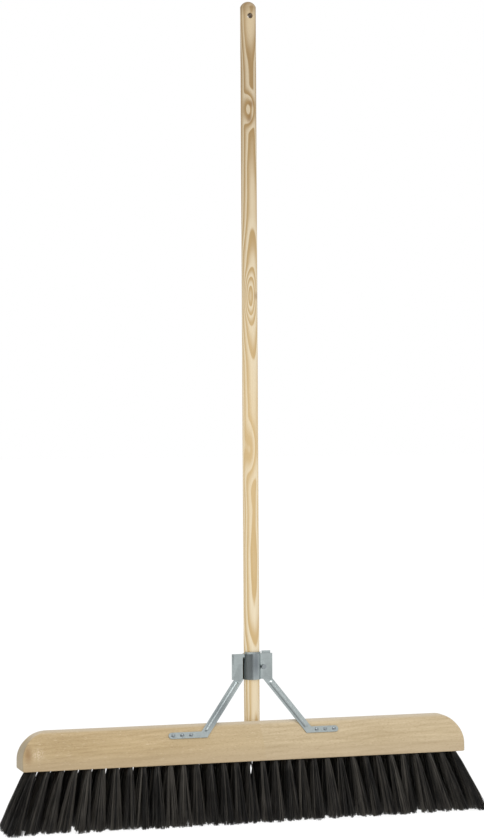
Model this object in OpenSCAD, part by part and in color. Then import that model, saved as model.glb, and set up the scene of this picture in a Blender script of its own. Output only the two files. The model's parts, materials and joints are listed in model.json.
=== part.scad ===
// Push broom: a wooden block with bristle tufts, a two-piece steel bracket and a round handle.
// X runs along the block, Y from the front to the back, Z up.  The origin is on the floor, under
// the middle of the bristle tips.

/* [Block] */
// Length of the wooden block
block_len = 800; // [600:10:1000]
// Width of the block from front to back
block_w = 58; // [54:1:70]
// Height of the block from its underside to its ridge
block_h = 66; // [62:1:72]
// Height of the upright front and back sides
side_h = 23; // [20:1:26]
// Slope of the front and back facets above the sides, from level
facet_angle = 67; // [66:0.5:69]
// Radius of the rounded upper corners at both ends
end_r = 50; // [30:1:56]
// Place of the glued joint between the two boards, right of the middle
joint_x = 26.5; // [-80:0.5:80]
// Slant of the glued joint from upright
joint_slant = 7; // [0:1:12]

/* [Bristles] */
// Free length of the bristles, from the block to the floor
bristle_h = 105; // [70:1:130]
// Number of tufts in each row
tuft_count = 33; // [21:2:33]
// Distance between tufts along a row
tuft_pitch = 23.6; // [23.2:0.1:23.8]
// Distance between rows at the block
row_pitch = 11.5; // [11:0.1:11.6]
// Distance between rows at the floor
tip_row_pitch = 20; // [19.5:0.5:21]
// Diameter of the drilled tuft holes
hole_d = 8.2; // [7.6:0.1:8.4]
// Depth of the drilled tuft holes
hole_depth = 20; // [16:1:24]
// Radius of a tuft at the floor
tip_r = 9.5; // [8:0.5:9.5]
// How far the outermost tufts lean out over their free length
end_splay = 40; // [20:1:50]

/* [Handle] */
// Diameter of the handle
handle_d = 27.5; // [24:0.5:28]
// Height of the handle's top above the floor
handle_top = 1430; // [1200:10:1600]
// Diameter of the hanging hole
hang_hole_d = 10; // [8:0.5:12]
// Distance from the handle's top to the middle of the hanging hole
hang_hole_drop = 26; // [20:1:40]

/* [Bracket] */
// Middle of the bracket and handle, right of the block's middle
bracket_x = 19; // [0:1:30]
// Thickness of the steel sheet
sheet = 1.5; // [1.2:0.1:1.8]
// Height of the clamp
clamp_h = 45; // [40:1:50]
// Height of the clamp's lower edge above the block's underside
clamp_base = 137; // [130:1:145]
// Distance from the handle's axis to the outer edge of each ear
ear_reach = 37; // [34:1:40]
// Width of the legs
leg_w = 14; // [12:0.5:15]
// Distance from the handle's axis to the foot of the right leg
leg_reach = 92; // [80:1:100]
// Distance from the handle's axis to the end of the left foot
foot_reach_left = 162; // [156:1:168]
// Distance from the handle's axis to the end of the right foot
foot_reach_right = 146; // [145:1:158]
// Distance between the screws of a foot
screw_pitch = 16; // [15:0.5:16.5]

/* [Hidden] */
$fn = 64;
eps = 0.01;

wood = "burlywood";
steel = "lightsteelblue";
bristle = [0.12, 0.12, 0.12];

// Ridge: the circle that touches both facets and the level of block_h.
half_w = block_w / 2;
rise = block_h - side_h;
ridge_r = (half_w * sin(facet_angle) - rise * cos(facet_angle)) / (1 - cos(facet_angle));

// Clamp: the sheet's middle line, the ears' plane and the gap that the bolt can close.
fit_gap = 0.05;
bore_r = handle_d / 2 + fit_gap;
mid_r = bore_r + sheet / 2;
ear_y = -3;
ear_gap = 0.8;
flange_y = ear_y + sheet + ear_gap;
bend_r = 2;
front_bend_r = 3.5;
rim_h = 3.5;
collar_z = bristle_h + clamp_base;
// The legs lie in the plane of the front facet, and the ears stand on their upper ends.
leg_rise = (clamp_base - side_h) / sin(facet_angle);
ear_plane_y = -half_w + leg_rise * cos(facet_angle) - sheet / 2 / sin(facet_angle);
handle_y = ear_plane_y - ear_y;
handle_foot = bristle_h + 57;
hang_z = handle_top - hang_hole_drop;

// Feet and screws, measured up the facet from its lower edge.
foot_up = 28;
foot_w = 11;
screw_inset = 8;
screw_head_r = 3.6;
screw_shank_r = 1.8;
screw_len = 16;

// M5 bolt, washer and nut: the washer lies just outside the flange's bend.
bolt_d = 5;
head_h = 2.6;
head_r = 4.2;
washer_r = 4.5;
washer_h = 1;
nut_h = 4;
bolt_tail = 12;
bolt_reach = mid_r + bend_r + washer_r + 0.15;
bolt_z = collar_z + clamp_h * 0.47;

// Tufts.
row_count = 5;
first = -(tuft_count - 1) / 2;
reach_x = -first * tuft_pitch;
root_r = hole_d / 2 - 0.2;
neck_r = hole_d / 2 + 0.4;
anchor_h = 3;
wire_r = 0.5;
mid_row = (row_count + 1) / 2;

function root_x(i) = (first + i) * tuft_pitch;
function lean_x(x) = 0.2 * end_splay * x / reach_x + 0.8 * end_splay * pow(x / reach_x, 3);
function row_y(row) = (row - mid_row) * row_pitch;
function lean_y(row) = (row - mid_row) * (tip_row_pitch - row_pitch);

// ---- Block ----

// Points of an arc about a centre.
function arc(centre, r, a0, a1, steps) = [for (k = [0:steps])
    centre + r * [cos(a0 + (a1 - a0) * k / steps), sin(a0 + (a1 - a0) * k / steps)]];

module block_section() {
    polygon(concat([[-half_w, side_h], [-half_w, 0], [half_w, 0], [half_w, side_h]],
        arc([0, block_h - ridge_r], ridge_r, 90 - facet_angle, 90 + facet_angle, 12)));
}

module block_outline() {
    centre_x = block_len / 2 - end_r;
    centre_z = block_h - end_r;
    polygon(concat([[-block_len / 2, 0], [block_len / 2, 0]],
        arc([centre_x, centre_z], end_r, 0, 90, 14),
        arc([-centre_x, centre_z], end_r, 90, 180, 14)));
}

module block_body() {
    intersection() {
        rotate([90, 0, 90])
            linear_extrude(block_len, center = true) block_section();
        rotate([90, 0, 0])
            linear_extrude(block_w + 2, center = true) block_outline();
    }
}

// The drilled holes are upright; the tufts fan out below them.
module at_root(i, row) {
    translate([root_x(i), row_y(row), bristle_h]) children();
}

module tuft_holes(from, to) {
    for (row = [1:row_count], i = [from:to])
        at_root(i, row)
            translate([0, 0, -1]) cylinder(d = hole_d, h = hole_depth + 1, $fn = 32);
}

// One side of the slanted glue joint.
module joint_side(side) {
    translate([joint_x, 0, bristle_h + block_h / 2])
        rotate([0, -joint_slant, 0])
            translate([side > 0 ? 0 : -block_len, -block_w, -block_h])
                cube([block_len, 2 * block_w, 2 * block_h]);
}

module board(side) {
    difference() {
        intersection() {
            translate([0, 0, bristle_h]) block_body();
            joint_side(side);
        }
        split = ceil((joint_x + reach_x) / tuft_pitch);
        tuft_holes(side > 0 ? split - 1 : 0, side > 0 ? tuft_count - 1 : split);
        foot_screw_set(side);
    }
}

module block_left() {
    color(wood) board(-1);
}

module block_right() {
    color(wood) board(1);
}

// ---- Bristles ----

// A tuft: its folded root in the drilled hole, and its free end, which leans out as it spreads
// and is cut flat at the block and at the floor.
module tuft(i, row) {
    lean = [lean_x(root_x(i)), lean_y(row)];
    growth = (tip_r - neck_r) / bristle_h;
    over = 25;
    at_root(i, row) {
        translate([0, 0, -1])
            cylinder(r = root_r, h = hole_depth - anchor_h + 1, $fn = 32);
        intersection() {
            rotate([0, 180 - atan2(norm(lean), bristle_h), atan2(lean[1], lean[0])])
                translate([0, 0, -5])
                    cylinder(r1 = neck_r - 5 * growth, r2 = tip_r + over * growth,
                        h = bristle_h + over + 5, $fn = 32);
            translate([-block_len, -block_w, -bristle_h])
                cube([2 * block_len, 2 * block_w, bristle_h]);
        }
    }
}

module tuft_row(row) {
    for (i = [0:tuft_count - 1]) tuft(i, row);
}

// The wire staple over a tuft's fold stands in the bottom of the drilled hole.
module anchor() {
    span = hole_d - 2.6;
    translate([0, 0, hole_depth - anchor_h + wire_r]) {
        rotate([0, 90, 0]) cylinder(r = wire_r, h = span, center = true, $fn = 16);
        for (side = [-1, 1]) translate([side * span / 2, 0, 0]) {
            sphere(r = wire_r, $fn = 16);
            cylinder(r = wire_r, h = anchor_h - wire_r, $fn = 16);
        }
    }
}

module tuft_anchors(row) {
    for (i = [0:tuft_count - 1]) at_root(i, row) anchor();
}

module tuft_row_1() { color(bristle) tuft_row(1); }
module tuft_row_2() { color(bristle) tuft_row(2); }
module tuft_row_3() { color(bristle) tuft_row(3); }
module tuft_row_4() { color(bristle) tuft_row(4); }
module tuft_row_5() { color(bristle) tuft_row(5); }
module tuft_anchors_1() { color("silver") tuft_anchors(1); }
module tuft_anchors_2() { color("silver") tuft_anchors(2); }
module tuft_anchors_3() { color("silver") tuft_anchors(3); }
module tuft_anchors_4() { color("silver") tuft_anchors(4); }
module tuft_anchors_5() { color("silver") tuft_anchors(5); }

// ---- Handle ----

// The foot is sawn at a slant to clear the block's ridge, and the top is a shallow dome.
module handle() {
    r = handle_d / 2;
    dome = 0.7 * r;
    dome_r = (r * r + dome * dome) / (2 * dome);
    saw_angle = 38;
    saw_gap = 0.6;
    color(wood) translate([bracket_x, handle_y, 0])
        difference() {
            union() {
                translate([0, 0, handle_foot]) cylinder(r = r, h = handle_top - dome - handle_foot);
                translate([0, 0, handle_top - dome]) rotate_extrude()
                    intersection() {
                        translate([0, dome - dome_r]) circle(dome_r, $fn = 128);
                        square([r, dome + 1]);
                    }
            }
            translate([0, 0, hang_z])
                rotate([90, 0, 0]) cylinder(d = hang_hole_d, h = handle_d + 2, center = true);
            translate([0, -handle_y, bristle_h + block_h - ridge_r]) rotate([-saw_angle, 0, 0])
                translate([-handle_d, -40, -60]) cube([2 * handle_d, 80, 60 + ridge_r + saw_gap]);
        }
}

// ---- Bracket ----

// A straight piece of sheet seen from above, between two points of its middle line.
module flat_part(p, q) {
    d = q - p;
    translate(p) rotate(atan2(d[1], d[0]))
        translate([0, -sheet / 2]) square([norm(d), sheet]);
}

function reversed(list) = [for (k = [1:len(list)]) list[len(list) - k]];

// One edge of the strip below: inside 1 is the edge away from the handle, and -1 the edge near it.
function strip_edge(plane_y, bend, far_angle, turn, inside) = let (
    half = inside * sheet / 2,
    centre = bend_centre(plane_y, bend),
    bend_side = sign(bend),
    start = 180 + atan2(centre[1], centre[0]),
    stop = 180 + 90 * bend_side,
    steps = 8)
    concat(arc([0, 0], mid_r + half, far_angle, turn, 48),
        arc(centre, abs(bend) - half, start + (stop - start) / steps, stop, steps - 1),
        [[ear_reach, plane_y + bend_side * half]]);

// A bend's radius is negative where it turns towards the front.
function bend_centre(plane_y, bend) = let (centre_y = plane_y + bend)
    [sqrt(pow(mid_r + abs(bend), 2) - centre_y * centre_y), centre_y];
function bend_turn(plane_y, bend) = let (centre = bend_centre(plane_y, bend))
    atan2(centre[1], centre[0]);

// Sheet seen from above: the collar from far_angle to turn, a small bend, and a flat on the right.
module collar_strip(plane_y, bend, far_angle, turn) {
    polygon(concat(strip_edge(plane_y, bend, far_angle, turn, 1),
        reversed(strip_edge(plane_y, bend, far_angle, turn, -1))));
}

// Left half: ear, slanting web, rear of the collar and the flange behind the right ear.
module left_plan() {
    web_angle = 160;
    web_end = mid_r * [cos(web_angle), sin(web_angle)];
    ear_end = [-mid_r - 3, ear_y];
    flat_part([-ear_reach, ear_y], ear_end);
    flat_part(ear_end, web_end);
    translate(ear_end) circle(d = sheet, $fn = 32);
    translate(web_end) circle(d = sheet, $fn = 32);
    collar_strip(flange_y, bend_r, web_angle, bend_turn(flange_y, bend_r));
}

// Right half: front of the collar and the right ear.
module right_plan() {
    collar_strip(ear_y, -front_bend_r, 190, 360 + bend_turn(ear_y, -front_bend_r));
}

// The front collar's top rim, turned outwards so that the handle slides in easily.
module rim() {
    flare = 1.3;
    foot = 0.8;
    rotate([0, 0, 205]) rotate_extrude(angle = 130, $fn = 96)
        polygon([[mid_r - 0.5, -foot], [mid_r + 0.25, -foot],
            [mid_r + sheet / 2 + flare, rim_h], [mid_r - 0.45 + flare, rim_h]]);
}

module bolt_hole(clearance = 0.3) {
    translate([bolt_reach, 0, bolt_z])
        rotate([90, 0, 0]) cylinder(d = bolt_d + clearance, h = 30, center = true);
}

// Moves from the handle's axis frame to the front facet: X along it, Y up it, Z out of it.
module on_facet() {
    translate([0, -half_w - handle_y, bristle_h + side_h])
        rotate([facet_angle, 0, 0]) children();
}

function foot_reach(side) = side > 0 ? foot_reach_right : foot_reach_left;

// The left leg stands a little wider, and starts further from its ear's edge.
function foot_x(side) = -leg_reach - (side > 0 ? 0 : 6);
function leg_top_x(side) = -ear_reach + leg_w / 2 + (side > 0 ? 1.5 : 5.5);

// A leg and its foot, cut from flat sheet, with a pressed rib along the leg.
module leg_and_foot(side, rib_h) {
    reach = foot_reach(side);
    low_x = foot_x(side);
    foot_low = foot_up - foot_w / 2;
    run = leg_rise;
    across = leg_top_x(side) - low_x;
    tilt = atan2(run - foot_up, across);
    leg_len = norm([across, run - foot_up]);
    rib_half = 4.4;
    rib_start = 9;
    rib_len = leg_len - 19;
    translate([low_x, foot_up, 0]) rotate([0, 0, tilt]) {
        difference() {
            translate([-leg_w / 2 + 2, -leg_w / 2, 0]) cube([leg_len + leg_w, leg_w, sheet]);
            translate([rib_start, 0, -eps]) rib(rib_len, rib_h, rib_half - 1);
            rotate([0, 0, -tilt]) translate([-leg_w, foot_low - foot_up - leg_w, -1])
                cube([2 * leg_w, leg_w, sheet + 2]);
        }
        translate([rib_start, 0, sheet]) rib(rib_len, rib_h, rib_half);
    }
    translate([-reach + foot_w / 2, foot_low, 0])
        cube([reach + low_x, foot_w, sheet]);
    translate([-reach + foot_w / 2, foot_up, 0]) cylinder(d = foot_w, h = sheet);
}

// A long low rib with rounded ends: the cap of a capsule lying along X.
module rib(len, height, half) {
    r = (half * half + height * height) / (2 * height);
    intersection() {
        translate([0, 0, height - r]) {
            rotate([0, 90, 0]) cylinder(r = r, h = len, $fn = 96);
            for (x = [0, len]) translate([x, 0, 0]) sphere(r = r, $fn = 96);
        }
        translate([-2 * half, -half, 0]) cube([len + 4 * half, 2 * half, height + 1]);
    }
}

// The legs' upper ends are cut where the ears stand.
module leg_zone() {
    translate([-block_len, -block_w, 0])
        cube([2 * block_len, 3 * block_w, collar_z + sheet / 2]);
}

module leg(side, rib_h) {
    mirror([side > 0 ? 1 : 0, 0, 0])
        intersection() {
            difference() {
                on_facet() leg_and_foot(side, rib_h);
                for (k = [0:2])
                    at_screw(side, k) translate([0, 0, -1]) cylinder(r = screw_shank_r + 0.2, h = 5);
            }
            leg_zone();
        }
}

// Places its child at a screw of a foot, in the mirrored frame of the right foot too.
module at_screw(side, k) {
    on_facet()
        translate([screw_inset - foot_reach(side) + k * screw_pitch, foot_up, 0]) children();
}

module bracket_left() {
    tab = 4.5;
    lip = 12;
    color(steel) translate([bracket_x, handle_y, 0])
        difference() {
            union() {
                translate([0, 0, collar_z]) linear_extrude(clamp_h) left_plan();
                translate([0, 0, collar_z]) linear_extrude(clamp_h + tab)
                    intersection() {
                        left_plan();
                        translate([bolt_reach - 3, -mid_r]) square([ear_reach - bolt_reach, 2 * mid_r]);
                    }
                leg(-1, 2);
            }
            bolt_hole();
            translate([ear_reach - 2, -lip, collar_z - 1]) cube([lip, 2 * lip, clamp_h + lip]);
        }
}

module bracket_right() {
    neck = 6;
    head = 18;
    tab_y = ear_y - sheet;
    color(steel) translate([bracket_x, handle_y, 0])
        difference() {
            union() {
                translate([0, 0, collar_z]) linear_extrude(clamp_h) right_plan();
                translate([0, 0, collar_z + clamp_h]) rim();
                translate([-ear_reach + 2, tab_y - sheet / 2, collar_z + clamp_h - neck])
                    cube([ear_reach - 2 - mid_r + 1.2, sheet, neck]);
                translate([-ear_reach + 2, tab_y - sheet / 2, collar_z + clamp_h - head])
                    cube([ear_reach - mid_r - 5, sheet, head]);
                leg(1, 1);
            }
            bolt_hole();
        }
}

// ---- Fasteners ----

module foot_screw() {
    point = 4;
    dome_r = 4.85;
    head = 1.6;
    translate([0, 0, sheet]) intersection() {
        translate([0, 0, head - dome_r]) sphere(r = dome_r, $fn = 64);
        cylinder(r = screw_head_r, h = 2 * head);
    }
    translate([0, 0, point - screw_len])
        cylinder(r = screw_shank_r, h = screw_len - point + sheet + head / 2);
    translate([0, 0, -screw_len]) cylinder(r1 = 0.3, r2 = screw_shank_r, h = point);
}

module foot_screw_set(side) {
    translate([bracket_x, handle_y, 0]) mirror([side > 0 ? 1 : 0, 0, 0])
        for (k = [0:2]) at_screw(side, k) foot_screw();
}

module foot_screws_left() {
    color("slategray") foot_screw_set(-1);
}

module foot_screws_right() {
    color("slategray") foot_screw_set(1);
}

// Places its child on the bolt's line with +Z pointing backwards, at a distance behind the axis.
module on_bolt(y) {
    translate([bracket_x + bolt_reach, handle_y + y, bolt_z]) rotate([-90, 0, 0]) children();
}

module clamp_bolt() {
    front = ear_y - sheet / 2;
    color("slategray") on_bolt(front) {
        translate([0, 0, -head_h]) intersection() {
            cylinder(r = head_r, h = head_h);
            translate([0, 0, 5]) sphere(r = 7.2, $fn = 96);
        }
        translate([0, 0, -eps]) cylinder(d = bolt_d, h = bolt_tail);
    }
}

module clamp_washer() {
    color("silver") on_bolt(flange_y + sheet / 2)
        difference() {
            cylinder(r = washer_r, h = washer_h);
            translate([0, 0, -1]) cylinder(d = bolt_d + 0.1, h = washer_h + 2);
        }
}

// An M5 hexagon nut with its outer corners turned off.
module clamp_nut() {
    across_flats = 8;
    corner_r = across_flats / 2 / cos(30);
    color("silver") on_bolt(flange_y + sheet / 2 + washer_h)
        difference() {
            intersection() {
                cylinder(r = corner_r, h = nut_h, $fn = 6);
                translate([0, 0, nut_h - 7]) sphere(r = 8, $fn = 96);
            }
            translate([0, 0, -1]) cylinder(d = bolt_d + 0.1, h = 20);
        }
}

block_left();
block_right();
handle();
bracket_left();
bracket_right();
clamp_bolt();
clamp_washer();
clamp_nut();
foot_screws_left();
foot_screws_right();
tuft_row_1();
tuft_row_2();
tuft_row_3();
tuft_row_4();
tuft_row_5();
tuft_anchors_1();
tuft_anchors_2();
tuft_anchors_3();
tuft_anchors_4();
tuft_anchors_5();
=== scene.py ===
"""Push broom: a beech block with black bristles, a galvanised clamp bracket and a pine handle.

Everything is in metres in the CAD frame: X along the block, Y to the back, Z up, and the floor at
the bristle tips.  The CAD nodes keep their places.  The handle and the staples are repainted, the
sheet metal and the fasteners are copies with softened edges, the block is rebuilt with rounded
edges, and each row of tufts is a row of separate strands.
"""
import json
import math

import bmesh
import bpy
import numpy as np
from mathutils import Matrix, Vector

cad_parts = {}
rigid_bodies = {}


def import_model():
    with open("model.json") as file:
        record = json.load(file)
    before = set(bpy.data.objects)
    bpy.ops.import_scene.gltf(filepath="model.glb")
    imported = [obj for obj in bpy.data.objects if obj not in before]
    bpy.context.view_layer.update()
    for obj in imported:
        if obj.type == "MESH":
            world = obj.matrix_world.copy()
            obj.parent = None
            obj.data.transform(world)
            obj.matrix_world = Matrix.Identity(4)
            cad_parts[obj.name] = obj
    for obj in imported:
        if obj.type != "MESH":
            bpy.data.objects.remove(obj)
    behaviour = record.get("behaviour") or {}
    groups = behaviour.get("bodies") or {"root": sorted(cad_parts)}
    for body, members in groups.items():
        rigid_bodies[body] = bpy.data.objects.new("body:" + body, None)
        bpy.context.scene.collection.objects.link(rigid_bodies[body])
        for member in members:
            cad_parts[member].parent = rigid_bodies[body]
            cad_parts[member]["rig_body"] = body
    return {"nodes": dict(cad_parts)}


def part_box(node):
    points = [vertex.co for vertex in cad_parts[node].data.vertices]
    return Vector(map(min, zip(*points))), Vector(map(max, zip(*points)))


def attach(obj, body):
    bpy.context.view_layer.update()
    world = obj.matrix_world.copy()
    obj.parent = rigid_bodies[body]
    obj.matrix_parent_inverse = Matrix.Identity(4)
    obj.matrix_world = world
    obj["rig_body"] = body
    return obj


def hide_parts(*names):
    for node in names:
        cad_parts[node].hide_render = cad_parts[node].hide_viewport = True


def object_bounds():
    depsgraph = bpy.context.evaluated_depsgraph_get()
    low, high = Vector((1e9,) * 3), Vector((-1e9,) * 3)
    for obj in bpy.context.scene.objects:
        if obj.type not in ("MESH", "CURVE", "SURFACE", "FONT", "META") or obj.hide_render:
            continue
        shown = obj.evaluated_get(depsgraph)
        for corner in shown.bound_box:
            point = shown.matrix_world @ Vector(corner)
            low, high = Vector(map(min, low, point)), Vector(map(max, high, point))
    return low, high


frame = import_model()
cad_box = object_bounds()
nodes = frame["nodes"]

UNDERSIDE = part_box("block_left")[0].z
BLOCK_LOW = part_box("block_left")[0]
BLOCK_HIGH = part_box("block_right")[1]
HANDLE_LOW, HANDLE_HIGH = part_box("handle")
HANDLE_AXIS = (HANDLE_LOW + HANDLE_HIGH) / 2
# The boards meet on a slanted plane, given by its x at the underside and at the ridge.
JOINT_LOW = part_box("block_left")[1].x
JOINT_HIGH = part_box("block_right")[0].x


# ---- Camera ----

CAMERA_PLACE = (-1.186, -3.965, 0.715)
CAMERA_YAW = math.radians(16.62)
CAMERA_PITCH = math.radians(-0.25)
CAMERA_ROLL = math.radians(-0.32)
LENS_MM = 101.7
SENSOR_MM = 36
CLIP_END = 50


def aim_camera():
    """The camera stands to the left of the broom at half its height and looks almost level."""
    ahead = math.cos(CAMERA_PITCH)
    forward = Vector((math.sin(CAMERA_YAW) * ahead, math.cos(CAMERA_YAW) * ahead,
                      math.sin(CAMERA_PITCH)))
    right = Vector((math.cos(CAMERA_YAW), -math.sin(CAMERA_YAW), 0))
    up = right.cross(forward)
    rolled_right = right * math.cos(CAMERA_ROLL) + up * math.sin(CAMERA_ROLL)
    rolled_up = up * math.cos(CAMERA_ROLL) - right * math.sin(CAMERA_ROLL)
    data = bpy.data.cameras.new("camera")
    data.lens = LENS_MM
    data.sensor_width = SENSOR_MM
    data.clip_end = CLIP_END
    camera = bpy.data.objects.new("camera", data)
    turn = Matrix((rolled_right, rolled_up, -forward)).transposed().to_4x4()
    camera.matrix_world = Matrix.Translation(CAMERA_PLACE) @ turn
    bpy.context.scene.collection.objects.link(camera)
    bpy.context.scene.camera = camera


# ---- Materials ----

class Recipe:
    """A short way to write a material's nodes around one Principled shader."""

    def __init__(self, name, constants):
        self.material = bpy.data.materials.new(name)
        self.material.use_nodes = True
        self.tree = self.material.node_tree
        self.shader = self.tree.nodes["Principled BSDF"]
        coordinates = self.tree.nodes.new("ShaderNodeTexCoord")
        self.place = coordinates.outputs["Object"]
        self.facing = coordinates.outputs["Normal"]
        for socket, value in constants.items():
            self.shader.inputs[socket].default_value = value

    def feed(self, socket, value):
        if isinstance(value, bpy.types.NodeSocket):
            self.tree.links.new(value, socket)
        else:
            socket.default_value = value

    def node(self, kind, inputs, **settings):
        made = self.tree.nodes.new("ShaderNode" + kind)
        for key, value in settings.items():
            setattr(made, key, value)
        for key, value in inputs.items():
            self.feed(made.inputs[key], value)
        return made

    def math(self, operation, a, b=0.0):
        return self.node("Math", {0: a, 1: b}, operation=operation).outputs[0]

    def weighted(self, *terms, base=None):
        """The sum of values times their weights, on top of a base where one is given."""
        total = base
        for value, weight in terms:
            part = self.math("MULTIPLY", value, weight)
            total = part if total is None else self.math("ADD", total, part)
        return total

    def moved(self, offset=(0, 0, 0), scale=(1, 1, 1), turn=(0, 0, 0), source=None):
        """The place seen from another origin, then turned and stretched."""
        shifted = self.node("VectorMath", {0: source or self.place, 1: offset},
                            operation="SUBTRACT")
        return self.node("Mapping", {"Vector": shifted.outputs[0], "Scale": scale,
                                     "Rotation": [math.radians(a) for a in turn]}).outputs[0]

    def noise(self, vector, scale, detail=2.0, roughness=0.5):
        return self.node("TexNoise", {"Vector": vector, "Scale": scale, "Detail": detail,
                                      "Roughness": roughness}).outputs["Fac"]

    def stepped(self, value, low, high, smooth=True):
        """0 before low and 1 past high, with a soft or straight step between."""
        kind = "SMOOTHSTEP" if smooth else "LINEAR"
        return self.node("MapRange", {"Value": value, "From Min": low, "From Max": high},
                         interpolation_type=kind).outputs["Result"]

    def mix(self, factor, a, b):
        made = self.node("Mix", {}, data_type="RGBA")
        self.feed(made.inputs[0], factor)
        self.feed(made.inputs[6], a)
        self.feed(made.inputs[7], b)
        return made.outputs[2]

    def tint(self, colour, mask, amount, towards):
        """Moves a colour towards another one, by the amount where the mask is 1."""
        return self.mix(self.math("MULTIPLY", mask, amount), colour, towards)

    def spot(self, centre, radii):
        """1 at the centre of a soft ellipsoid, falling to 0 at its edge."""
        relative = self.moved(centre, [1 / r for r in radii])
        length = self.node("VectorMath", {0: relative}, operation="LENGTH").outputs["Value"]
        return self.stepped(length, 1.0, 0.0)

    def parts(self, vector):
        return self.node("SeparateXYZ", {0: vector}).outputs

    def bump(self, height, distance, strength):
        made = self.node("Bump", {"Height": height, "Distance": distance, "Strength": strength})
        self.feed(self.shader.inputs["Normal"], made.outputs[0])

    def finish(self, colour, roughness=None):
        self.feed(self.shader.inputs["Base Color"], colour)
        if roughness is not None:
            self.feed(self.shader.inputs["Roughness"], roughness)
        return self.material


def srgb(red, green, blue):
    """A display colour, 0 to 255, as the linear colour that a shader takes."""
    def linear(c):
        c /= 255
        return c / 12.92 if c <= 0.04045 else ((c + 0.055) / 1.055) ** 2.4
    return (linear(red), linear(green), linear(blue), 1)


BEECH_AT_JOINT = srgb(196, 177, 143)
BEECH_FLECK = srgb(142, 108, 70)
BEECH_PALE = srgb(230, 214, 186)
# Painted shading on the upright sides.
BEECH_SIDE_SHADING = srgb(181, 161, 132)
BEECH_END = srgb(172, 158, 130)
BEECH_PORE = srgb(136, 119, 88)
# Painted highlight along the top of the ridge.
BEECH_RIDGE_HIGHLIGHT = srgb(205, 196, 180)
BEECH_KNOT = srgb(136, 98, 56)
BEECH_SCAR = srgb(222, 204, 178)
# The board keeps its own colour for this far from its end, and then pales towards the joint.
BEECH_FULL_COLOUR = 0.15


def beech(name, light, dark, slope, seed, fading):
    """Planed beech: faint growth lines along the board, short dark flecks and duller end grain.

    The grain turns by the slope in degrees, the seed moves the figure along the board, and the
    fading is how far the colour pales at the glue joint.
    """
    m = Recipe(name, {"Specular IOR Level": 0.35})

    def along_grain(scale, start=(seed, 0, 0)):
        return m.moved(start, scale, (0, slope, 0))

    _, y, z = m.parts(along_grain((1, 1, 1)))
    drift = m.noise(along_grain((2.2, 9, 9)), 1, 3)
    depth = m.weighted((z, 0.8), (y, 0.6))
    rings = m.weighted((depth, 120), (drift, 9))
    line = m.stepped(m.math("FRACT", rings), 0.35, 1.0)
    figure = m.noise(along_grain((9, 150, 150)), 1, 4, 0.6)
    patchy = m.noise(m.moved((seed, 0, 0), (6, 14, 14)), 1, 3)
    tone = m.weighted((line, 0.13), (figure, 1.1), (patchy, 0.45))
    colour = m.mix(m.stepped(tone, 0.52, 1.14, False), light, dark)

    across, _, upward = m.parts(m.facing)
    near_joint = m.stepped(m.parts(m.place)[0], BLOCK_LOW.x + BEECH_FULL_COLOUR, JOINT_LOW)
    colour = m.tint(colour, near_joint, fading, BEECH_AT_JOINT)
    fleck = m.stepped(m.noise(along_grain((260, 1500, 1500), (0, 0, 0)), 1, 1), 0.60, 0.70)
    colour = m.tint(colour, fleck, 0.45, BEECH_FLECK)
    pale = m.stepped(m.noise(along_grain((150, 900, 900), (1, 2, 3)), 1, 1), 0.62, 0.76)
    colour = m.tint(colour, pale, 0.35, BEECH_PALE)
    # Painted shading: the upright sides are toned greyer than the facets.
    colour = m.tint(colour, m.stepped(upward, 0.30, 0.06), 0.45, BEECH_SIDE_SHADING)
    pores = m.noise(m.place, 1500, 2)
    end_tone = m.tint(BEECH_END, pores, 0.5, BEECH_PORE)
    colour = m.mix(m.stepped(m.math("ABSOLUTE", across), 0.45, 0.92), colour, end_tone)
    # Painted highlight: the upward-facing top of the ridge is paler and greyer.
    colour = m.tint(colour, m.stepped(upward, 0.62, 0.98), 0.55, BEECH_RIDGE_HIGHLIGHT)

    # The left end has a knot, and a pale speckled scar beside it.
    knot = m.spot((BLOCK_LOW.x + 0.010, -0.026, UNDERSIDE + 0.030), (0.012, 0.014, 0.026))
    colour = m.tint(colour, knot, 0.60, BEECH_KNOT)
    scar = m.spot((BLOCK_LOW.x + 0.027, -0.026, UNDERSIDE + 0.029), (0.016, 0.016, 0.016))
    scar = m.math("MULTIPLY", scar, m.stepped(m.noise(m.place, 420, 2), 0.42, 0.62))
    colour = m.tint(colour, scar, 0.7, BEECH_SCAR)

    m.bump(m.weighted((fleck, -0.6), (figure, 0.5)), 0.00015, 0.5)
    return m.finish(colour, m.weighted((figure, 0.15), base=0.48))


PINE_STREAK = srgb(184, 150, 104)
PINE_BLUSH = srgb(216, 191, 148)
PINE_KNOT = srgb(132, 96, 54)
PINE_TOP_DARK = srgb(120, 94, 60)
# Ovals in the figure: the height, how many growth rings they shift, and half their length.
PINE_OVALS = ((1.240, 2.2, 0.045), (0.914, -2.6, 0.060), (0.640, 1.9, 0.075))
# Knots on the front: how far right of the axis, the height, and half their length.
PINE_KNOTS = ((-0.002, 1.224, 0.014), (0.001, 1.250, 0.010), (0.010, 0.914, 0.012))
# How far down from the top the stick is darker.
DARK_TOP_LENGTH = 0.030


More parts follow.
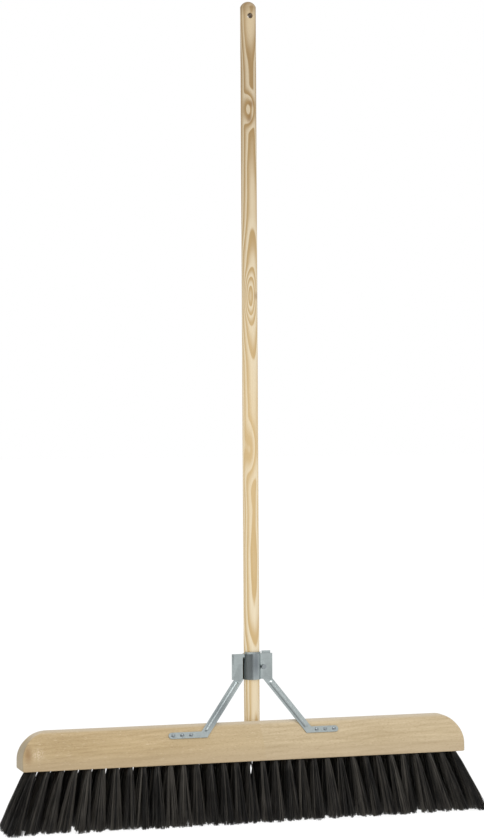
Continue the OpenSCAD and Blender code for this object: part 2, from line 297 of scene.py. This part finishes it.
def pine():
    """A turned pine stick: growth rings met at a shallow angle make long loops and ovals.

    The wood is pale low down, browner higher up and darker still at the top.
    """
    m = Recipe("pine", {"Specular IOR Level": 0.35})
    local = m.moved((HANDLE_AXIS.x, HANDLE_AXIS.y, 0))
    x, y, z = m.parts(local)
    wander = m.noise(m.moved((0, 0, 0.31), (7, 7, 2.4), source=local), 1, 2, 0.45)
    ripple = m.noise(m.moved((0, 0, 0.2), (40, 40, 9), source=local), 1, 2)
    shell = m.weighted((m.math("MULTIPLY", x, x), 14), (x, -0.22), base=y)
    rings = m.weighted((shell, 130), (wander, 9), (ripple, 0.9))
    front = HANDLE_LOW.y
    for height, shift, reach in PINE_OVALS:
        bulge = m.spot((HANDLE_AXIS.x - 0.003, front, height), (0.016, 0.016, reach))
        rings = m.weighted((bulge, shift), base=rings)
    phase = m.math("FRACT", rings)
    late = m.math("MULTIPLY", m.stepped(phase, 0.05, 0.80), m.stepped(phase, 1.0, 0.88))
    age = m.stepped(z, 0.70, 1.45, False)
    pale = m.mix(age, srgb(234, 219, 188), srgb(186, 170, 142))
    tan = m.mix(age, srgb(206, 177, 126), srgb(132, 102, 60))
    colour = m.mix(late, pale, tan)

    streaks = m.noise(m.moved((3, 0, 0), (900, 900, 14), source=local), 1, 3)
    colour = m.tint(colour, m.stepped(streaks, 0.4, 0.8), 0.22, PINE_STREAK)
    blush = m.noise(m.moved((5, 2, 0), (20, 20, 3), source=local), 1, 2)
    colour = m.tint(colour, m.stepped(blush, 0.45, 0.7), 0.35, PINE_BLUSH)
    for shift, height, reach in PINE_KNOTS:
        knot = m.spot((HANDLE_AXIS.x + shift, front, height), (0.008, 0.012, reach))
        colour = m.tint(colour, knot, 0.65, PINE_KNOT)
    # The top of the stick is darker.
    darker_top = m.stepped(z, HANDLE_HIGH.z - DARK_TOP_LENGTH, HANDLE_HIGH.z)
    colour = m.tint(colour, darker_top, 0.6, PINE_TOP_DARK)
    m.bump(m.weighted((streaks, 0.6), base=late), 0.00012, 0.4)
    return m.finish(colour, m.weighted((streaks, 0.2), base=0.40))


ZINC_ROUGHNESS = 0.32
WIRE_ROUGHNESS = 0.35
ZINC_FRECKLE = srgb(112, 118, 120)
# The colour of the painted dark reflections on the zinc.
ZINC_PAINTED_REFLECTION = srgb(104, 110, 116)


def galvanised(name, light, roughness, painted_reflection=None):
    """Zinc-coated steel: soft clouds, fine rolling lines and a few small freckles.

    A patch of painted dark reflection is given by its centre, its radii and its strength.
    """
    m = Recipe(name, {"Metallic": 1.0})
    cloud = m.noise(m.place, 160, 3, 0.6)
    lines = m.noise(m.moved(scale=(90, 90, 2200)), 1, 2)
    shade = m.weighted((cloud, 0.6), (lines, 0.4))
    dark = [c * 0.84 for c in light[:3]] + [1]
    colour = m.mix(m.stepped(shade, 0.34, 0.66, False), dark, light)
    freckle = m.stepped(m.noise(m.place, 900, 2), 0.63, 0.76)
    colour = m.tint(colour, freckle, 0.22, ZINC_FRECKLE)
    # Painted dark reflection: the colour darkens inside a soft ellipsoid, the same from every
    # view.
    if painted_reflection:
        centre, radii, strength = painted_reflection
        colour = m.tint(colour, m.spot(centre, radii), strength, ZINC_PAINTED_REFLECTION)
    m.bump(shade, 0.00004, 0.25)
    return m.finish(colour, m.weighted((shade, 0.06), base=roughness - 0.03))


def black_fibre():
    """Stiff black fibre: each strand has its own shade, and varies a little along its length."""
    m = Recipe("bristle_fibre", {"Specular IOR Level": 0.35})
    own = m.node("Attribute", {}, attribute_name="shade").outputs["Fac"]
    streak = m.noise(m.moved(scale=(90, 90, 14)), 1, 2, 0.6)
    shade = m.weighted((own, 0.8), (streak, 0.4))
    colour = m.mix(m.stepped(shade, 0.52, 1.05, False), srgb(15, 14, 13), srgb(108, 103, 95))
    return m.finish(colour, m.weighted((own, 0.2), base=0.36))


# ---- Pieces ----

def add_piece(name, mesh, material, body, stands_for=()):
    mesh.materials.clear()
    mesh.materials.append(material)
    piece = bpy.data.objects.new(name, mesh)
    bpy.context.scene.collection.objects.link(piece)
    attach(piece, body)
    if stands_for:
        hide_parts(*stands_for)
    return piece


def repaint(node, material):
    data = nodes[node].data
    data.materials.clear()
    data.materials.append(material)


SHARP = math.radians(35)
NEARLY_FLAT = math.radians(0.5)
MERGE_WITHIN = 1e-5
EDGE_STEPS = 2
SHEET_EDGE = 0.00035
FASTENER_EDGE = 0.0002


def softened(node, material, width):
    """A copy of a CAD node with its sharp edges rounded, which stands in for the node."""
    mesh = nodes[node].data.copy()
    mesh.name = node + "_soft"
    work = bmesh.new()
    work.from_mesh(mesh)
    bmesh.ops.remove_doubles(work, verts=work.verts, dist=MERGE_WITHIN)
    bmesh.ops.dissolve_degenerate(work, edges=work.edges, dist=MERGE_WITHIN)
    bmesh.ops.dissolve_limit(work, angle_limit=NEARLY_FLAT, verts=work.verts, edges=work.edges)
    sharp = [e for e in work.edges if len(e.link_faces) == 2 and e.calc_face_angle(0) > SHARP]
    bmesh.ops.bevel(work, geom=sharp, offset=width, segments=EDGE_STEPS, profile=0.5,
                    affect="EDGES", clamp_overlap=True)
    work.to_mesh(mesh)
    work.free()
    mesh.polygons.foreach_set("use_smooth", [True] * len(mesh.polygons))
    mesh.set_sharp_from_angle(angle=SHARP)
    piece = add_piece(node + "_soft", mesh, material, nodes[node]["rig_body"], (node,))
    flat = piece.modifiers.new("flat_faces_stay_flat", "WEIGHTED_NORMAL")
    flat.weight = 100
    flat.keep_sharp = True


# ---- The block ----

# Its section has upright sides, a facet on each side and a round ridge.
HALF_W = (BLOCK_HIGH.y - BLOCK_LOW.y) / 2
HALF_LEN = (BLOCK_HIGH.x - BLOCK_LOW.x) / 2
BLOCK_H = BLOCK_HIGH.z - UNDERSIDE
SIDE_H = 0.023
FACET = math.radians(67)
RIDGE_R = ((HALF_W * math.sin(FACET) - (BLOCK_H - SIDE_H) * math.cos(FACET))
           / (1 - math.cos(FACET)))
END_R = 0.050
SIDE_EDGE_R = 0.008
END_EDGE_R = 0.0035
UNDERSIDE_EDGE_R = 0.002

# The skin is found along rays from a line inside the block, which ends where the round ends start.
SPINE_Z = 0.028
SPINE_END = HALF_LEN - END_R
SKIN_WITHIN = 0.09
HALVINGS = 40
AROUND = 144
OUTWARD = 40
SECTIONS = 24
FINE_STEPS = 4000
FACE_LENGTH = 0.004
FACE_BEND = math.radians(7)
X_WAY, Y_WAY, Z_WAY = np.eye(3)


def rounded_both(a, b, radius):
    """The intersection of two solids, given by distance, with its edge rounded."""
    outside = np.hypot(np.maximum(a + radius, 0), np.maximum(b + radius, 0))
    return np.minimum(np.maximum(a, b), -radius) + outside


def block_distance(points):
    """How far points lie outside the planed block, with z from its underside."""
    x, y, z = np.abs(points[..., 0]), np.abs(points[..., 1]), points[..., 2]
    on_ridge = y < RIDGE_R * math.sin(FACET)
    # Kept just short of the ridge's radius, so that no slope is infinite.
    ridge_y = np.minimum(y, RIDGE_R * 0.999)
    fall = np.sqrt(RIDGE_R ** 2 - ridge_y ** 2)
    top = np.where(on_ridge, BLOCK_H - RIDGE_R + fall, SIDE_H + (HALF_W - y) * math.tan(FACET))
    slope = np.where(on_ridge, ridge_y / fall, math.tan(FACET))
    section = rounded_both(y - HALF_W, (z - top) / np.hypot(1, slope), SIDE_EDGE_R)
    past, above = x - SPINE_END, z - (BLOCK_H - END_R)
    reach = np.hypot(np.maximum(past, 0), np.maximum(above, 0))
    end = reach + np.minimum(np.maximum(past, above), 0) - END_R
    # The edge round the end fades out on the ridge, where the end and the ridge run together.
    upward = np.maximum(above, 0) / np.maximum(reach, 1e-9) / np.hypot(1, slope)
    rounded = rounded_both(section, end, END_EDGE_R * (1 - upward))
    return rounded_both(rounded, -z, UNDERSIDE_EDGE_R)


def block_skin(starts, directions):
    """Where rays from inside the block meet its skin."""
    near = np.zeros(directions.shape[:-1])
    far = near + SKIN_WITHIN
    for _ in range(HALVINGS):
        half = (near + far) / 2
        inside = block_distance(starts + directions * half[..., None]) < 0
        near, far = np.where(inside, half, near), np.where(inside, far, half)
    return starts + directions * near[..., None]


def fan(angles, first, last):
    """Directions that turn from the first one towards the last one."""
    return np.outer(np.cos(angles), first) + np.outer(np.sin(angles), last)


def even_angles(high, count, start, fans):
    """Angles from 0 up to high for rays from the start, closer where the skin bends more."""
    fine = np.linspace(0, high, FINE_STEPS + 1)
    effort = np.zeros(FINE_STEPS)
    for first, last in fans:
        step = np.diff(block_skin(start, fan(fine, first, last)), axis=0)
        length = np.linalg.norm(step, axis=1)
        unit = step / length[:, None]
        bend = np.arccos(np.clip((unit[1:] * unit[:-1]).sum(1), -1, 1))
        effort += length / FACE_LENGTH
        effort[1:] += bend / FACE_BEND
    total = np.concatenate(([0], np.cumsum(effort)))
    return np.interp(np.linspace(0, total[-1], count + 1), total, fine)[:-1]


def board_points(side):
    """Rings of points on a board's skin, from the glue joint to the round end, and its tip."""
    middle = np.array((0, 0, SPINE_Z))
    ring = fan(even_angles(2 * math.pi, AROUND, middle, [(Y_WAY, Z_WAY)]), Y_WAY, Z_WAY)
    joint = block_skin(middle, ring)
    joint[:, 0] = JOINT_LOW + (JOINT_HIGH - JOINT_LOW) * joint[:, 2] / BLOCK_H
    rings = [joint]
    # The slanted joint leans over the left board, so its first sections are left out.
    first = 3 if side < 0 else 1
    for x in np.linspace(JOINT_LOW, side * SPINE_END, SECTIONS)[first:-1]:
        rings.append(block_skin(np.array((x, 0, SPINE_Z)), ring))
    outward = even_angles(math.pi / 2, OUTWARD, np.array((SPINE_END, 0, SPINE_Z)),
                          [(Z_WAY, X_WAY), (Y_WAY, X_WAY), (-Z_WAY, X_WAY)])
    centre = np.array((side * SPINE_END, 0, SPINE_Z))
    for turn in outward:
        direction = ring * math.cos(turn) + side * math.sin(turn) * X_WAY
        rings.append(block_skin(centre, direction))
    tip = block_skin(centre, side * X_WAY)
    return np.concatenate(rings + [tip[None]]), len(rings)


def board_faces(rings):
    """Quads between the rings, triangles to the tip and one flat face on the glue joint."""
    following = [(k + 1) % AROUND for k in range(AROUND)]
    faces = []
    for level in range(rings - 1):
        a, b = level * AROUND, (level + 1) * AROUND
        faces += [(a + k, a + following[k], b + following[k], b + k) for k in range(AROUND)]
    a, tip = (rings - 1) * AROUND, rings * AROUND
    faces += [(a + k, a + following[k], tip) for k in range(AROUND)]
    faces.append(tuple(range(AROUND - 1, -1, -1)))
    return faces


def skin_normals(points):
    """The ways out of the block, from how the distance to its skin changes."""
    tiny = 1e-5
    change = np.stack([
        block_distance(points + tiny * way) - block_distance(points - tiny * way)
        for way in (X_WAY, Y_WAY, Z_WAY)], 1)
    return change / np.linalg.norm(change, axis=1)[:, None]


def block_board(side, material):
    """One board of the block, left (-1) or right (1), as a closed mesh."""
    points, rings = board_points(side)
    faces = board_faces(rings)
    if side < 0:
        faces = [face[::-1] for face in faces]
    normals = skin_normals(points)
    points += (0, (BLOCK_LOW.y + BLOCK_HIGH.y) / 2, UNDERSIDE)
    node = "block_left" if side < 0 else "block_right"
    mesh = bpy.data.meshes.new(node + "_planed")
    mesh.from_pydata(points.tolist(), [], faces)
    mesh.polygons.foreach_set("use_smooth", [True] * (len(faces) - 1) + [False])
    mesh.normals_split_custom_set_from_vertices(normals.tolist())
    add_piece(node + "_planed", mesh, material, "head", (node,))


# ---- The bristles ----

FIRST_SEED = 7100
ROWS = 5
TUFTS = 33
TUFT_PITCH = 0.0236
STRANDS = 290
SIDES = 3
# Where a strand's rings lie, as shares of its length.
RING_SHARES = np.array((0, 0.2, 0.6, 1))
RINGS = len(RING_SHARES)
STRAND_R = 0.00033
STRAND_TAPER = 0.85
ROOT_R = 0.0037
ROOT_DEPTH = 0.004
# A tuft's radius at the floor, and how far it leans there along the block and across it.
SPREAD = 0.0150
END_SPLAY = 0.040
ROW_SPLAY = 0.0085
# How far a whole tuft and a single strand stray at the floor, and how far a strand bows.
TUFT_STRAY = 0.0034
STRAND_STRAY = 0.0008
STRAND_BOW = 0.0005
# The least and the greatest share of the usual spread and thickness that a strand has.
SPREAD_SHARES = (0.75, 1.1)
THICKNESS_SHARES = (0.75, 1.2)
# Below 1, strands spread faster near the block than at the floor.
SPREAD_POWER = 0.9
# How much of a tip's way past the edge of the CAD tufts is taken back.
TAKEN_BACK = 0.5
# A strand's tip lies half-way between its own place and the middle of its clump.
CLUMPS = 12
CLUMPS_WITHIN = 0.9 * SPREAD
CLUMP_MIXING = 0.5
CLUMP_PULL = 0.5
CLUMP_SHADE = 0.45
# The tips end a little above the floor: by clump, by strand, and never more than the last.
CLUMP_CUT = 0.0030
STRAND_CUT = 0.0012
CUT_LIMIT = 0.011
PARTING_X = 0.011
PARTING_SLANT = 0.30
PARTING_HALF = 0.0022
PARTING_DEPTH = 0.042


def tuft_lean(x, row):
    """How far a tuft leans out at the floor: little in the middle and most at the ends."""
    share = x / (TUFT_PITCH * (TUFTS - 1) / 2)
    along = END_SPLAY * (0.2 * share + 0.8 * share ** 3)
    return np.array((along, (row - (ROWS + 1) / 2) * ROW_SPLAY))


def disc(random, count, radius):
    """Points spread evenly over a disc."""
    angle = random.uniform(0, 2 * math.pi, count)
    reach = radius * np.sqrt(random.uniform(0, 1, count))
    return np.stack((reach * np.cos(angle), reach * np.sin(angle)), 1)


def part_bristles(lines):
    """Pushes strands off a slanted plane near the middle, where the tufts stand apart."""
    off = lines[..., 0] - PARTING_X - PARTING_SLANT * lines[..., 1]
    down = np.clip((UNDERSIDE - lines[..., 2]) / PARTING_DEPTH, 0, 1)
    half = PARTING_HALF * np.sin(math.pi * down)
    lines[..., 0] += np.where(off < 0, -1, 1) * (np.hypot(off, half) - np.abs(off))


def tuft_strands(random, x, y, row):
    """The middle lines of one tuft's strands, strand by ring by coordinate, and their shades."""
    root = disc(random, STRANDS, ROOT_R)
    clumps = disc(random, CLUMPS, CLUMPS_WITHIN)
    apart = ((root[:, None] / ROOT_R - clumps[None] / SPREAD) ** 2).sum(2)
    chosen = np.argmin(apart + random.uniform(0, CLUMP_MIXING, (STRANDS, CLUMPS)), 1)
    free_tip = root * (SPREAD / ROOT_R) * random.uniform(*SPREAD_SHARES, (STRANDS, 1))
    tip = (1 - CLUMP_PULL) * free_tip + CLUMP_PULL * clumps[chosen]
    tip += random.normal(0, STRAND_STRAY, (STRANDS, 2))
    tip += tuft_lean(x, row) + random.normal(0, 1, 2) * TUFT_STRAY
    across = y + tip[:, 1]
    past = np.maximum(np.abs(across) - cad_box[1][1], 0)
    tip[:, 1] -= np.sign(across) * past * TAKEN_BACK
    clump_cut = random.uniform(0, CLUMP_CUT, CLUMPS)[chosen]
    tip_z = np.minimum(clump_cut + random.exponential(STRAND_CUT, STRANDS), CUT_LIMIT)
    bow = random.normal(0, STRAND_BOW, (STRANDS, 2))
    top_z = UNDERSIDE + ROOT_DEPTH
    eased = RING_SHARES[None, :, None] ** SPREAD_POWER
    bowed = np.sin(math.pi * RING_SHARES)[None, :, None]
    lines = np.empty((STRANDS, RINGS, 3))
    lines[:, :, :2] = (np.array((x, y)) + root[:, None] + eased * (tip - root)[:, None]
                       + bowed * bow[:, None])
    lines[:, :, 2] = top_z + RING_SHARES[None] * (tip_z - top_z)[:, None]
    part_bristles(lines)
    by_clump = random.uniform(0, 1, CLUMPS)[chosen]
    by_strand = random.uniform(0, 1, STRANDS)
    return lines, CLUMP_SHADE * by_clump + (1 - CLUMP_SHADE) * by_strand


def strand_faces(count):
    """The walls of the strands as quads and their ends as triangles."""
    ring = np.arange(SIDES)
    following = (ring + 1) % SIDES
    walls = []
    for level in range(RINGS - 1):
        a, b = level * SIDES, (level + 1) * SIDES
        walls.append(np.stack((a + ring, b + ring, b + following, a + following), 1))
    ends = np.array((ring, ring[::-1] + (RINGS - 1) * SIDES))
    first = np.arange(count)[:, None, None] * RINGS * SIDES
    return ((np.concatenate(walls)[None] + first).reshape(-1, 4).tolist()
            + (ends[None] + first).reshape(-1, SIDES).tolist())


def bristle_row(row, material):
    """A row of tufts as one mesh of thin three-sided strands with closed ends."""
    random = np.random.default_rng(FIRST_SEED + row)
    low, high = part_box(f"tuft_anchors_{row}")
    y = (low.y + high.y) / 2
    places = [(i - (TUFTS - 1) / 2) * TUFT_PITCH for i in range(TUFTS)]
    tufts = [tuft_strands(random, x, y, row) for x in places]
    lines = np.concatenate([strands for strands, _ in tufts])
    shades = np.concatenate([shade for _, shade in tufts])
    count = len(lines)
    corners = np.arange(SIDES) * 2 * math.pi / SIDES
    turn = random.uniform(0, 2 * math.pi, count)[:, None, None] + corners
    thickness = STRAND_R * random.uniform(*THICKNESS_SHARES, count)[:, None, None]
    radius = thickness * np.linspace(1, STRAND_TAPER, RINGS)[:, None]
    points = np.repeat(lines[:, :, None], SIDES, 2)
    points[..., 0] += radius * np.cos(turn)
    points[..., 1] += radius * np.sin(turn)
    mesh = bpy.data.meshes.new(f"bristles_{row}")
    mesh.from_pydata(points.reshape(-1, 3).tolist(), [], strand_faces(count))
    mesh.polygons.foreach_set("use_smooth", [True] * len(mesh.polygons))
    mesh.attributes.new("shade", "FLOAT", "POINT").data.foreach_set(
        "value", np.repeat(shades, RINGS * SIDES))
    piece = add_piece(f"bristles_{row}", mesh, material, "head", (f"tuft_row_{row}",))


# ---- Studio ----

WHITE = (1, 1, 1, 1)
BLACK = (0, 0, 0, 1)
FLOOR_REACH = 30
FLOOR_GLOW = 0.94
FLOOR_TONES = ((0.10, 0.10, 0.10, 1), (0.12, 0.12, 0.12, 1))
SURROUNDINGS_AS_LIGHT = 0.76
SURROUNDINGS_SEEN = 1.0
CARD_STEPS = 12


def glowing(name, strength):
    """A matt surface that gives off white light."""
    return Recipe(name, {"Roughness": 1.0, "Specular IOR Level": 0.0,
                         "Emission Color": WHITE, "Emission Strength": strength})


def studio_floor():
    """A wide pale floor, clear from below, which runs into the white surroundings."""
    far = FLOOR_REACH
    mesh = bpy.data.meshes.new("studio_floor")
    mesh.from_pydata([(-far, -far, 0), (far, -far, 0), (far, far, 0), (-far, far, 0)],
                     [], [(0, 1, 2, 3)])
    m = glowing("studio_white", FLOOR_GLOW)
    m.finish(m.mix(m.noise(m.place, 30, 2), *FLOOR_TONES))
    from_below = m.node("NewGeometry", {}).outputs["Backfacing"]
    clear = m.node("BsdfTransparent", {}).outputs[0]
    one_sided = m.node("MixShader", {0: from_below, 1: m.shader.outputs[0], 2: clear}).outputs[0]
    m.feed(m.tree.nodes["Material Output"].inputs["Surface"], one_sided)
    mesh.materials.append(m.material)
    floor = bpy.data.objects.new("studio_floor", mesh)
    bpy.context.scene.collection.objects.link(floor)


def dark_card(name, start, end, height, distance, glow):
    """A dark screen round the front of the broom, which only shows in glossy reflections.

    It runs from one angle to another, in degrees to the right of the front.
    """
    angles = [math.radians(start + (end - start) * i / CARD_STEPS) for i in range(CARD_STEPS + 1)]
    points = [(distance * math.sin(a), -distance * math.cos(a), z)
              for a in angles for z in (0.0, height)]
    faces = [(2 * i, 2 * i + 1, 2 * i + 3, 2 * i + 2) for i in range(CARD_STEPS)]
    mesh = bpy.data.meshes.new(name)
    mesh.from_pydata(points, [], faces)
    mesh.materials.append(glowing(name, glow).finish(BLACK))
    card = bpy.data.objects.new(name, mesh)
    bpy.context.scene.collection.objects.link(card)
    card.visible_camera = False
    card.visible_diffuse = False
    card.visible_shadow = False
    card.visible_transmission = False


def soft_box(name, place, target, size, power):
    data = bpy.data.lights.new(name, "AREA")
    data.shape = "RECTANGLE"
    data.size, data.size_y = size
    data.energy = power
    light = bpy.data.objects.new(name, data)
    light.location = place
    light.rotation_euler = (Vector(target) - Vector(place)).to_track_quat("-Z", "Y").to_euler()
    bpy.context.scene.collection.objects.link(light)


def light_studio():
    world = bpy.data.worlds.new("studio")
    bpy.context.scene.world = world
    world.use_nodes = True
    background = world.node_tree.nodes["Background"]
    background.inputs["Color"].default_value = WHITE
    # The surroundings are white to the eye and a little dimmer as a source of light.
    path = world.node_tree.nodes.new("ShaderNodeLightPath")
    strength = world.node_tree.nodes.new("ShaderNodeMapRange")
    strength.inputs["To Min"].default_value = SURROUNDINGS_AS_LIGHT
    strength.inputs["To Max"].default_value = SURROUNDINGS_SEEN
    world.node_tree.links.new(path.outputs["Is Camera Ray"], strength.inputs["Value"])
    world.node_tree.links.new(strength.outputs["Result"], background.inputs["Strength"])
    middle = (0, 0, 0.5)
    soft_box("key", (0.9, -1.9, 4.2), middle, size=(2.6, 2.0), power=55)
    soft_box("fill", (-3.2, -2.0, 2.2), middle, size=(2.0, 2.4), power=20)
    dark_card("front_card", start=-120, end=4, height=0.60, distance=0.8, glow=0.17)


# ---- The broom ----

aim_camera()

beech_left = beech("beech_left", srgb(200, 177, 137), srgb(170, 146, 105),
                   slope=0.5, seed=0.0, fading=0.55)
beech_right = beech("beech_right", srgb(207, 188, 154), srgb(179, 159, 124),
                    slope=6.0, seed=1.7, fading=0.0)
block_board(-1, beech_left)
block_board(1, beech_right)

# The zinc has a painted dark reflection on the middle of the left leg and on the front of the
# collar, which darkens the metal from every view.
zinc = srgb(181, 190, 190)
leg_reflection_centre = (HANDLE_AXIS.x - 0.061, -0.0035, UNDERSIDE + 0.083)
sheet_zinc = galvanised("sheet_zinc", zinc, ZINC_ROUGHNESS,
                        (leg_reflection_centre, (0.060, 0.030, 0.050), 0.50))
collar_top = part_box("bracket_right")[1].z
collar_reflection_centre = (HANDLE_AXIS.x + 0.004, HANDLE_LOW.y - 0.0015, collar_top - 0.020)
collar_zinc = galvanised("collar_zinc", zinc, ZINC_ROUGHNESS,
                         (collar_reflection_centre, (0.016, 0.014, 0.045), 0.80))
softened("bracket_left", sheet_zinc, SHEET_EDGE)
softened("bracket_right", collar_zinc, SHEET_EDGE)
plated = galvanised("zinc_plated", srgb(156, 163, 166), ZINC_ROUGHNESS)
for part in ("clamp_bolt", "clamp_washer", "clamp_nut", "foot_screws_left", "foot_screws_right"):
    softened(part, plated, FASTENER_EDGE)

repaint("handle", pine())
fibre = black_fibre()
wire = galvanised("staple_wire", srgb(170, 172, 174), WIRE_ROUGHNESS)
for row in range(1, ROWS + 1):
    bristle_row(row, fibre)
    repaint(f"tuft_anchors_{row}", wire)

studio_floor()
light_studio()
bpy.context.scene.view_settings.view_transform = "Standard"
